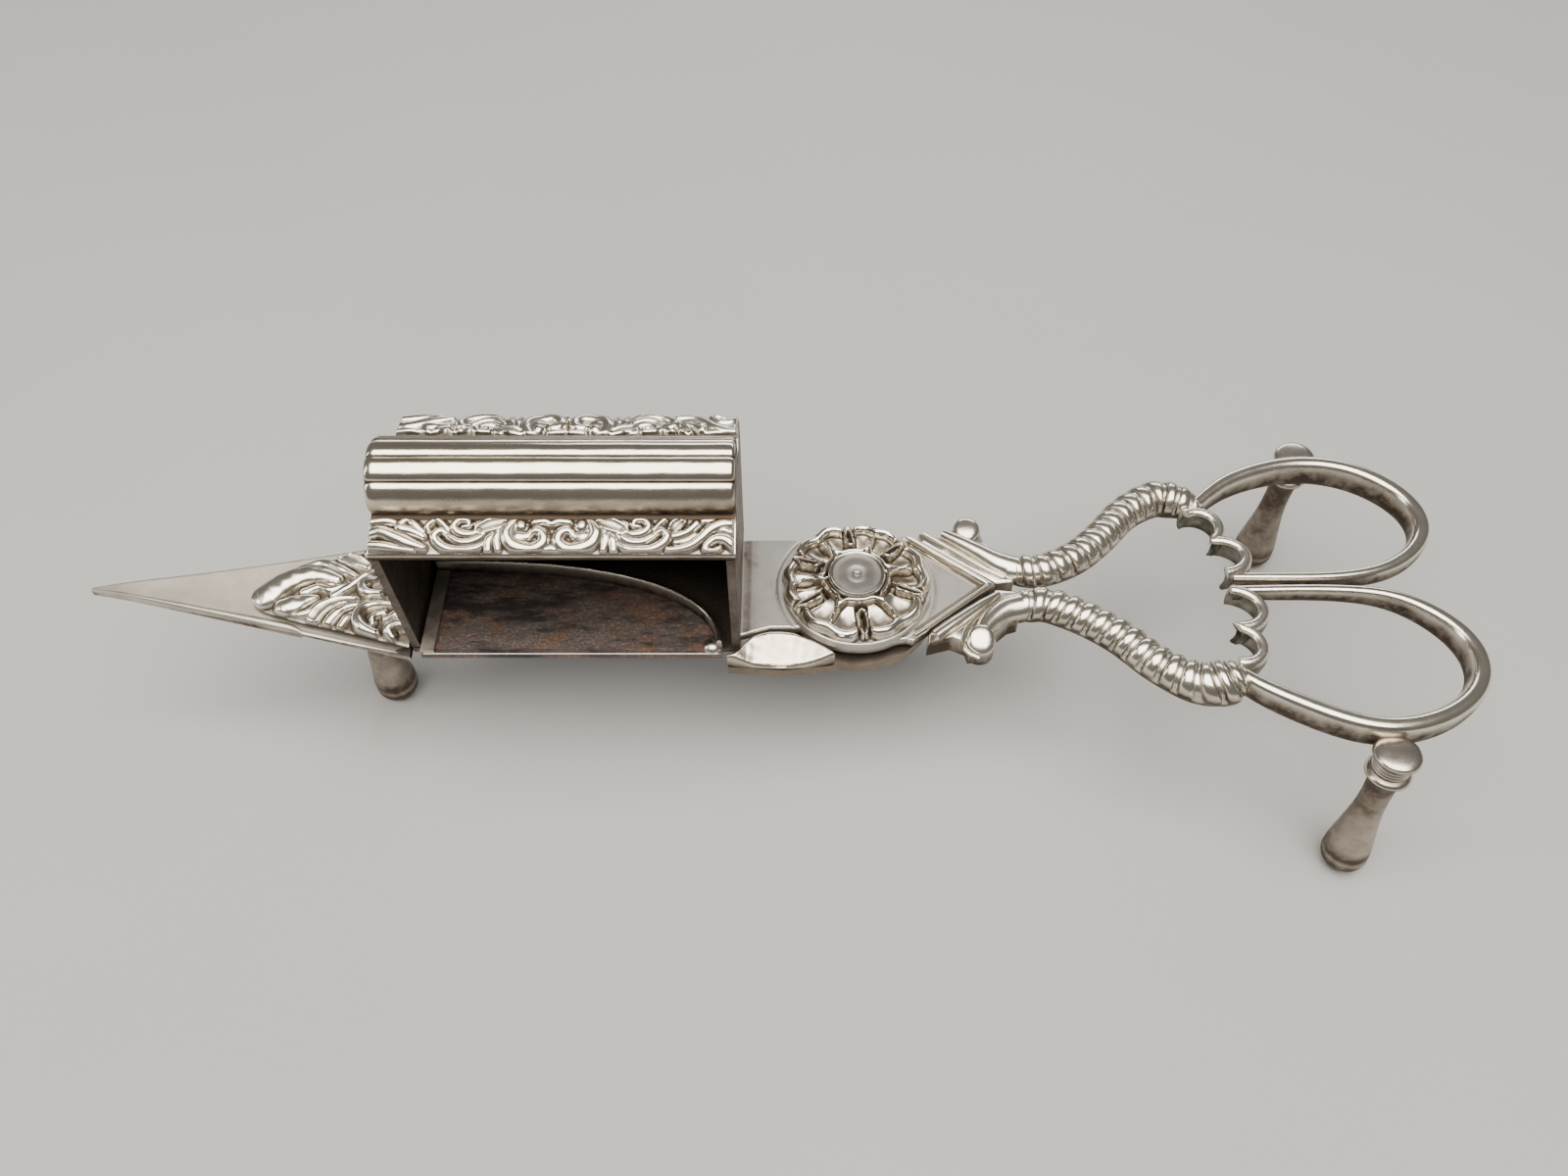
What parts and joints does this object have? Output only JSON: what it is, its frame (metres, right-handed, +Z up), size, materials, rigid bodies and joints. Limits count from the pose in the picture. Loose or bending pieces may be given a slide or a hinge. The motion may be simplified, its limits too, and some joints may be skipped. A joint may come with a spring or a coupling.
{
  "type": "wick trimmer",
  "caption": "Silver candle wick trimmer shaped like scissors, with a pointed pick, a reeded box, a press tray, a flower pivot, twisted arms, finger bows and turned feet.",
  "frame": {"origin": "middle of the bounding box in plan, at the height of the surface that the three feet stand on", "axes": "+X runs from the pick's tip to the finger bows, +Y points away from the box's open side, +Z is up"},
  "size_m": [0.1692, 0.0538, 0.0488],
  "materials": {
    "polished_silver": "old silver, rubbed bright, with fine scratches",
    "aged_silver": "old silver, dull in the hollows and bright on the edges",
    "tarnished_silver": "dark tarnished silver inside the box",
    "burnt_silver": "silver stained brown and black by candle soot"
  },
  "bodies": {
    "upper_lever": {"upper_plate": "aged_silver", "arrow_border": "polished_silver", "pick": "polished_silver", "acanthus_leaf": "aged_silver", "box_floor": "tarnished_silver", "box_shell": "polished_silver", "box_end_left": "tarnished_silver", "box_end_right": "tarnished_silver", "front_scroll_band": "aged_silver", "back_scroll_band": "aged_silver", "rosette": "aged_silver", "near_root": "polished_silver", "near_arm": "aged_silver", "near_bow": "polished_silver", "near_scallop": "polished_silver", "near_foot": "aged_silver", "front_foot": "aged_silver", "pivot_screw": "polished_silver", "pivot_washer": "tarnished_silver", "pivot_burr": "aged_silver"},
    "lower_lever": {"lower_plate": "aged_silver", "shoulder": "polished_silver", "press_tray": "burnt_silver", "tray_rim": "polished_silver", "tray_ledge": "aged_silver", "far_root": "polished_silver", "far_arm": "aged_silver", "far_bow": "polished_silver", "far_scallop": "polished_silver", "far_foot": "aged_silver"}
  },
  "joints": [
    {"name": "lever_pivot", "type": "hinge", "parent": "upper_lever", "child": "lower_lever", "pos_m": [0.01007, 0.00135, 0.022], "axis": [0, 0, 1], "range_deg": [0, 45]}
  ]
}
